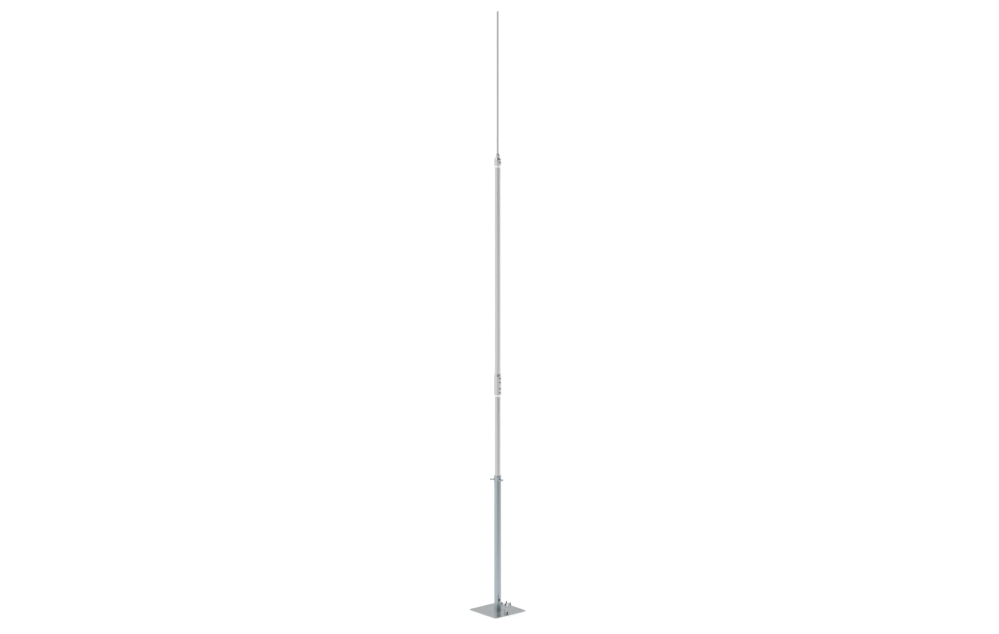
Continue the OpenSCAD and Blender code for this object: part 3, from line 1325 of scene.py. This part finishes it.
@dataclass
class Foot(SubAssembly):
    """Base plate and foot tube with the weld between them."""

    plate_corner: float = 20 * MM
    plate_edge: float = 0.9 * MM
    tube_wall: float = 4.5 * MM
    slot_width: float = 13 * MM
    slot_height: float = 26 * MM
    slot_rise: float = 103 * MM
    slot_turn: float = math.radians(-15)
    bead: WeldBead = WeldBead(5 * MM)

    def build(self) -> None:
        """Make the plate, the slotted tube and the weld bead."""
        self._plate()
        self._tube()
        path = self.bead.round_path(Box.of("foot_tube").size.x / 2, Box.of("foot_weld").low.z)
        self.piece("beaded_foot_weld", self.bead.lay(path), WELD_ZINC, "foot_weld")

    def _plate(self) -> None:
        """Make the base plate with its four anchor holes."""
        box = Box.of("base_plate")
        pattern = mount("anchor_holes")["dims"]
        reach_x = pattern["spacing_x_mm"] / 2 * MM
        reach_y = pattern["spacing_y_mm"] / 2 * MM
        radius = pattern["hole_r_mm"] * MM
        holes = [(x * reach_x, y * reach_y, radius) for x in (-1, 1) for y in (-1, 1)]
        centre = box.axis(box.low.z)
        plate = BevelledPlate(centre, box.size.x, box.size.z, self.plate_corner, self.plate_edge, holes)
        self.piece("bevelled_base_plate", plate.skin(), PLATE_ZINC, "base_plate")

    def _tube(self) -> None:
        """Make the foot tube with its outlet slot."""
        box = Box.of("foot_tube")
        slot = Port(self.slot_width, self.slot_height, self.slot_rise, self.slot_turn)
        outer = box.size.x / 2
        tube = PortedTube(outer, outer - self.tube_wall, box.low.z, box.high.z, [slot])
        mesh = self.piece("slotted_foot_tube", tube.skin(), TUBE_ZINC, "foot_tube")
        # The inner faces get the painted-shade dark zinc, standing in for the shade inside the bore.
        self.redress(mesh, BORE_SHADE_ZINC, lambda face: face.center.xy.length < outer - self.tube_wall / 2)


@dataclass
class Clamp(Fastened):
    """Clamp collar on the foot tube, with its screws and lock nuts."""

    thread: Thread = Thread(10 * MM, 1.5 * MM)
    head_h: float = 6.4 * MM
    bore: float = 25.5 * MM
    bevel: float = 1.5 * MM
    spot_margin: float = 1 * MM
    spot_lip: float = 0.2 * MM
    screws: int = 3
    bead: WeldBead = WeldBead(2 * MM, 2.2 * MM, 0.2 * MM)

    def build(self) -> None:
        """Make the collar, its weld to the tube, the screws and the nuts."""
        collar = Box.of("clamp_collar")
        screw = Box.of("collar_screw_1")
        lock = Box.of("collar_nut_1")
        width = lock.size.y
        height = screw.middle.z
        spot = 2 * (width / 2 / math.cos(HEX_HALF) + self.spot_margin)
        bearings = turns(self.screws)
        seats = [Port(spot, spot, height, turn, lock.low.x, self.spot_lip) for turn in bearings]
        wall = PortedTube(collar.size.x / 2, self.bore, collar.low.z, collar.high.z, seats, self.bevel)
        self.piece("spotfaced_clamp_collar", wall.skin(), TUBE_ZINC, "clamp_collar")
        path = self.bead.round_path(Box.of("foot_tube").size.x / 2, collar.low.z)
        self.piece("collar_weld", self.bead.lay(path, -1.0), WELD_ZINC)
        for i, turn in enumerate(bearings, 1):
            place = radial(turn, height, screw.low.x)
            self.screw(f"collar_screw_{i}", width, screw.size.x, place, PLATED_STEEL)
            place = radial(turn, height, lock.low.x)
            self.nut(f"collar_nut_{i}", width, lock.size.x, place, PLATED_STEEL)


@dataclass
class Socketed(Fastened):
    """A group about a turned socket that slips over the mast tube."""

    bore: float = 25.25 * MM
    rim: float = 0.5 * MM
    rim_round: float = 0.3 * MM
    taper_round: float = 4 * MM
    slope_limit: float = 0.12

    def socket(self, node: str, corners: Sequence[Corner]) -> None:
        """Turn a socket whose downward-facing lower slopes are painted brighter, a painted highlight for
        the bright floor that they reflect.

        Args:
            node: CAD node that it stands for.
            corners: Radius, height and rounding of each corner of its section.
        """
        skin = Skin(rings(rounded(corners), TUBE_COLUMNS))
        mesh = self.piece(f"turned_{node}", skin, TURNED_ALUMINIUM, node)
        # Downward-facing faces get the painted-highlight aluminium.
        self.redress(mesh, PAINTED_HIGHLIGHT_ALUMINIUM, lambda face: face.normal.z < -self.slope_limit)

    def set_screw(self, node: str, steel: Finish = SCREW_STEEL) -> None:
        """Make one small screw on the +X side of the mast."""
        box = Box.of(node)
        self.screw(node, box.size.y, box.size.x, radial(0.0, box.middle.z, box.low.x), steel)


@dataclass
class MastTubes(Socketed):
    """The two drawn mast tubes and the sleeve that couples them."""

    wall: float = 3 * MM
    end_round: float = 0.4 * MM
    taper: float = 18 * MM
    lead: float = 22 * MM
    lead_bevel: float = 1.8 * MM
    lead_round: float = 0.2 * MM
    screws: int = 4

    def build(self) -> None:
        """Make both tubes, the sleeve and its row of screws."""
        for node in ("lower_mast_tube", "upper_mast_tube"):
            box = Box.of(node)
            outer = box.size.x / 2
            tube = PortedTube(outer, outer - self.wall, box.low.z, box.high.z, rim_round=self.end_round)
            self.piece(f"drawn_{node}", tube.skin(), DRAWN_ALUMINIUM, node)
        self._sleeve()
        for i in range(1, self.screws + 1):
            self.set_screw(f"sleeve_screw_{i}")

    def _sleeve(self) -> None:
        """Turn the coupling sleeve with a taper at each end."""
        box = Box.of("coupling_sleeve")
        low, high = box.low.z, box.high.z
        outer = box.size.x / 2
        rim = self.bore + self.rim
        corners = [
            Corner(self.bore, low),
            Corner(rim, low, self.rim_round),
            Corner(outer, low + self.taper, self.taper_round),
            Corner(outer, high - self.lead, self.taper_round),
            Corner(rim + self.lead_bevel, high - self.lead_bevel, self.rim_round),
            Corner(rim, high, self.lead_round),
            Corner(self.bore, high),
        ]
        self.socket("coupling_sleeve", corners)


@dataclass
class Head(Socketed):
    """Head cap with its two screws, and the air rod."""

    rod_bore: float = 8.2 * MM
    neck: float = 16 * MM
    taper: float = 20 * MM
    depth: float = 59 * MM
    web: float = 11 * MM
    web_round: float = 1.5 * MM
    shoulder: float = 20 * MM
    shoulder_round: float = 2.5 * MM
    neck_bevel: float = 10 * MM
    neck_round: float = 1 * MM
    neck_rim: float = 3 * MM
    neck_rim_round: float = 0.4 * MM
    rod_bevel: float = 0.5 * MM
    tip_steps: int = 14

    def build(self) -> None:
        """Make the cap, the rod and the two screws."""
        self._cap()
        self._rod()
        self.set_screw("cap_screw")
        self.set_screw("rod_screw", BRIGHT_STEEL)

    def _cap(self) -> None:
        """Turn the head cap."""
        box = Box.of("head_cap")
        low, high = box.low.z, box.high.z
        outer = box.size.x / 2
        ledge = low + self.depth
        corners = [
            Corner(self.bore, low),
            Corner(self.bore + self.rim, low, self.rim_round),
            Corner(outer, low + self.taper, self.taper_round),
            Corner(outer, ledge + self.web, self.web_round),
            Corner(self.neck, ledge + self.web + self.shoulder, self.shoulder_round),
            Corner(self.neck, high - self.neck_bevel, self.neck_round),
            Corner(self.rod_bore + self.neck_rim, high, self.neck_rim_round),
            Corner(self.rod_bore, high, self.rim_round),
            Corner(self.rod_bore, ledge),
            Corner(self.bore, ledge),
        ]
        self.socket("head_cap", corners)

    def _rod(self) -> None:
        """Turn the air rod with its round tip."""
        box = Box.of("air_rod")
        low, high = box.low.z, box.high.z
        radius = box.size.x / 2
        sizes = [(0.0, low), (radius - self.rod_bevel, low), (radius, low + self.rod_bevel)]
        sizes += [(radius - inset, high - drop) for drop, inset in fillet(radius, self.tip_steps)]
        self.piece("round_tipped_air_rod", Skin(rings(sizes, SCREW_COLUMNS)), ROD_ALUMINIUM, "air_rod")


@dataclass
class EarthTerminal(Fastened):
    """Earth post on the plate with the crossed clamp on its top."""

    wall: float = 3 * MM
    corner: float = 4.5 * MM
    plate_corner: float = 6 * MM
    plate_edge: float = 0.5 * MM
    bolt_hole: float = 9 * MM
    conductor: float = 5 * MM
    upper_t: float = 3 * MM
    bolts: int = 4
    bead: WeldBead = WeldBead(3 * MM, 2.2 * MM, 0.25 * MM)

    def build(self) -> None:
        """Make the post, its welds, both clamp plates, the bolts and the nuts."""
        self._post()
        self._plates()
        for i in range(1, self.bolts + 1):
            self._bolt(f"clamp_bolt_{i}", f"clamp_nut_{i}")

    def _post(self) -> None:
        """Make the drilled post with a weld at its foot and another under the clamp."""
        box = Box.of("earth_post")
        half = box.size.x / 2
        hole = mount("earth_hole")
        width = 2 * hole["dims"]["r_mm"] * MM
        holes = [Port(width, width, hole["pos_m"][2], turn) for turn in (0.0, math.pi)]
        post = PortedPost(half, half - self.wall, box.low.z, box.high.z, holes, corner=self.corner)
        place = Matrix.Translation(box.axis(0.0))
        mesh = self.piece("drilled_earth_post", post.skin(), POST_ZINC, "earth_post", place=place)
        # Faces inside the post get the painted-shade near-black zinc, standing in for the shade in the
        # hollow.
        self.redress(mesh, HOLLOW_SHADE_ZINC, lambda face: self._inside(face.center - box.middle, half))
        for name, height, rise, nodes in (
            ("beaded_earth_post_weld", box.low.z, 1.0, ("earth_post_weld",)),
            ("clamp_seat_weld", box.high.z, -1.0, ()),
        ):
            path = self.bead.square_path(box.axis(height), box.size.x, self.corner)
            self.piece(name, self.bead.lay(path, rise), WELD_ZINC, *nodes)

    def _inside(self, offset: Vector, half: float) -> bool:
        """Whether a place, measured from the post's axis, is nearer to the bore than to the outside."""
        return max(abs(offset.x), abs(offset.y)) < half - self.wall / 2

    def _plates(self) -> None:
        """Make the flat lower plate and the pressed upper plate of the clamp."""
        lower = Box.of("clamp_lower_plate")
        upper = Box.of("clamp_upper_plate")
        spots = [Box.of(f"clamp_bolt_{i}").middle - lower.middle for i in range(1, self.bolts + 1)]
        holes = [(spot.x, spot.y, self.bolt_hole / 2) for spot in spots]
        size = lower.size
        centre = lower.axis(lower.low.z)
        flat = BevelledPlate(centre, size.x, size.z, self.plate_corner, self.plate_edge, holes)
        self.piece("flat_clamp_lower_plate", flat.skin(), POST_ZINC, "clamp_lower_plate")
        centre = lower.axis(upper.low.z)
        pressed = PressedClamp(centre, upper.size.x, self.upper_t, self.plate_corner, self.conductor)
        # The upper plate gets the painted-highlight pale zinc.
        self.piece("pressed_clamp_upper_plate", pressed.skin(), CLAMP_HIGHLIGHT_ZINC, "clamp_upper_plate")

    def _bolt(self, bolt: str, nut: str) -> None:
        """Make one clamp bolt, head down, and its nut.

        Args:
            bolt: CAD node of the bolt.
            nut: CAD node of the nut.
        """
        box = Box.of(bolt)
        place = Matrix.Translation(box.axis(box.high.z)) @ Matrix.Rotation(math.pi, 4, "X")
        # Bolt and nut get the painted-shade near-black steel.
        self.screw(bolt, box.size.y, box.size.z, place, CLAMP_BOLT_SHADE_STEEL)
        box = Box.of(nut)
        place = Matrix.Translation(box.axis(box.low.z))
        self.nut(nut, box.size.y, box.size.z, place, CLAMP_BOLT_SHADE_STEEL)


@dataclass(frozen=True)
class Screen:
    """Round screen about the mast: degrees right of the camera, above the ground and out to its edge."""

    turn: float
    rise: float
    reach: float


@dataclass
class Studio:
    """Camera, pale floor and soft light, with a dark flag in front on the right and a card behind."""

    azimuth: float = 49.7
    azimuth_start: float = -RIGHT_ANGLE
    elevation: float = 16.8
    view_width: float = 8.775
    aim_height: float = 2.6935
    aim_right: float = 0.0162
    camera_distance: float = 30.0
    camera_clip: float = 300.0
    floor_radius: float = 40.0
    floor_columns: int = 64
    floor_drop: float = 0.5 * MM
    floor_white: float = 0.95
    shade: Screen = Screen(51.0, 0.0, 70.0)
    near_shade: float = 0.25
    near_start: float = 0.8
    near_end: float = 2.5
    far_shade: float = 0.45
    far_start: float = 15.0
    far_end: float = 24.0
    shadow_share: float = 0.3
    matt_light: float = 1.65
    screen_edge: float = 6.0
    flag: Screen = Screen(42.0, 20.0, 66.0)
    flag_foot: float = 0.02
    flag_level: float = 0.26
    card: Screen = Screen(180.0, 17.0, 30.0)
    card_level: float = 0.595
    sun_turn: float = -60.0
    sun_rise: float = 50.0
    sun_level: float = 0.15
    sun_spread: float = 40.0

    def toward(self, turn: float, rise: float = 0.0) -> Vector:
        """Point away from the mast.

        Args:
            turn: Degrees to the right of the camera.
            rise: Degrees above the ground.

        Returns:
            The direction, of length 1.
        """
        heading = math.radians(turn + self.azimuth + self.azimuth_start)
        height = math.radians(rise)
        return polar(math.cos(height), heading, math.sin(height))

    def facing(self, direction: Vector) -> Euler:
        """Turn of a camera or a light that looks at the mast from a direction."""
        return (-direction).to_track_quat("-Z", "Y").to_euler()

    def build(self) -> None:
        """Set up the camera, the floor, the surroundings and the sun."""
        self._camera()
        self._floor()
        self._surroundings()
        self._sun()
        bpy.context.scene.view_settings.view_transform = "Standard"

    def _camera(self) -> None:
        """Aim a camera without perspective at the mast."""
        data = bpy.data.cameras.new("camera")
        data.type = "ORTHO"
        data.ortho_scale = self.view_width
        data.clip_end = self.camera_clip
        camera = placed("camera", data)
        back = self.toward(0.0, self.elevation)
        aim = up(self.aim_height) + self.toward(RIGHT_ANGLE) * self.aim_right
        camera.location = aim + back * self.camera_distance
        camera.rotation_euler = self.facing(back)
        bpy.context.scene.camera = camera

    def _screened(self, graph: Graph, direction: Value, screen: Screen) -> Value:
        """Find the share of a screen that a direction meets.

        Args:
            graph: Graph that the share is worked out in.
            direction: Direction from the mast, of length 1.
            screen: The screen.

        Returns:
            A mask that is 1 inside the screen and 0 outside it.
        """
        middle = self.toward(screen.turn, screen.rise)
        outer = math.cos(math.radians(screen.reach + self.screen_edge))
        inner = math.cos(math.radians(screen.reach - self.screen_edge))
        return graph.ramp(graph.along(direction, middle), outer, inner)

    def _floor(self) -> None:
        """Lay the floor: white, with the flag's grey shade on it in reflections."""
        sizes = [(radius, -self.floor_drop) for radius in (0.0, self.floor_radius)]
        floor = placed("floor", Skin(rings(sizes, self.floor_columns)).mesh("floor"))
        material = bpy.data.materials.new("floor_white")
        graph = Graph(material)
        place = graph.place()
        front = graph.along(place, self.toward(0.0))
        near = graph.ramp(front, self.near_start, self.near_end, self.near_shade)
        far = graph.ramp(front, self.far_start, self.far_end, self.far_shade)
        sector = self._screened(graph, graph.vector("NORMALIZE", {0: place}), self.shade)
        tone = 1.0 - graph.reflected() * sector * (near + far)
        paint = graph.toned((self.floor_white,) * 3, tone)
        matt = graph.node("ShaderNodeBsdfDiffuse", None, {"Color": paint})
        glow = graph.node("ShaderNodeEmission", None, {"Color": graph.toned(WHITE, tone)})
        share = (1.0 - self.shadow_share) * graph.seen()
        surface = graph.node("ShaderNodeMixShader", None, {0: share, 1: matt, 2: glow})
        graph.node("ShaderNodeOutputMaterial", None, {"Surface": surface})
        floor.data.materials.append(material)

    def _surroundings(self) -> None:
        """Fill the world with white, but for the flag and a grey card behind the mast."""
        world = bpy.data.worlds.new("studio")
        bpy.context.scene.world = world
        graph = Graph(world)
        ray = graph.node("ShaderNodeTexCoord", output="Generated")
        raised = graph.ramp(graph.along(ray, up(1.0)), 0.0, self.flag_foot)
        card = graph.mixed(self._screened(graph, ray, self.card), WHITE, (self.card_level,) * 3)
        flag = self._screened(graph, ray, self.flag) * raised
        screens = graph.mixed(flag, card, (self.flag_level,) * 3)
        colour = graph.mixed(graph.reflected(), WHITE, screens)
        level = self.matt_light + (1.0 - self.matt_light) * graph.seen()
        light = graph.node("ShaderNodeBackground", None, {"Color": colour, "Strength": level})
        graph.node("ShaderNodeOutputWorld", None, {"Surface": light})

    def _sun(self) -> None:
        """Hang a wide soft sun high on the left."""
        data = bpy.data.lights.new("soft_sun", "SUN")
        data.energy = self.sun_level
        data.angle = math.radians(self.sun_spread)
        sun = placed("soft_sun", data)
        sun.rotation_euler = self.facing(self.toward(self.sun_turn, self.sun_rise))


def main() -> None:
    """Build the mast from the foot up, then the studio round it."""
    logging.basicConfig(level=logging.INFO, format="%(name)s: %(message)s")
    for group in (Foot(), Clamp(), MastTubes(), Head(), EarthTerminal()):
        log.info("building %s", type(group).__name__)
        group.build()
    Studio().build()


if __name__ == "__main__":
    main()
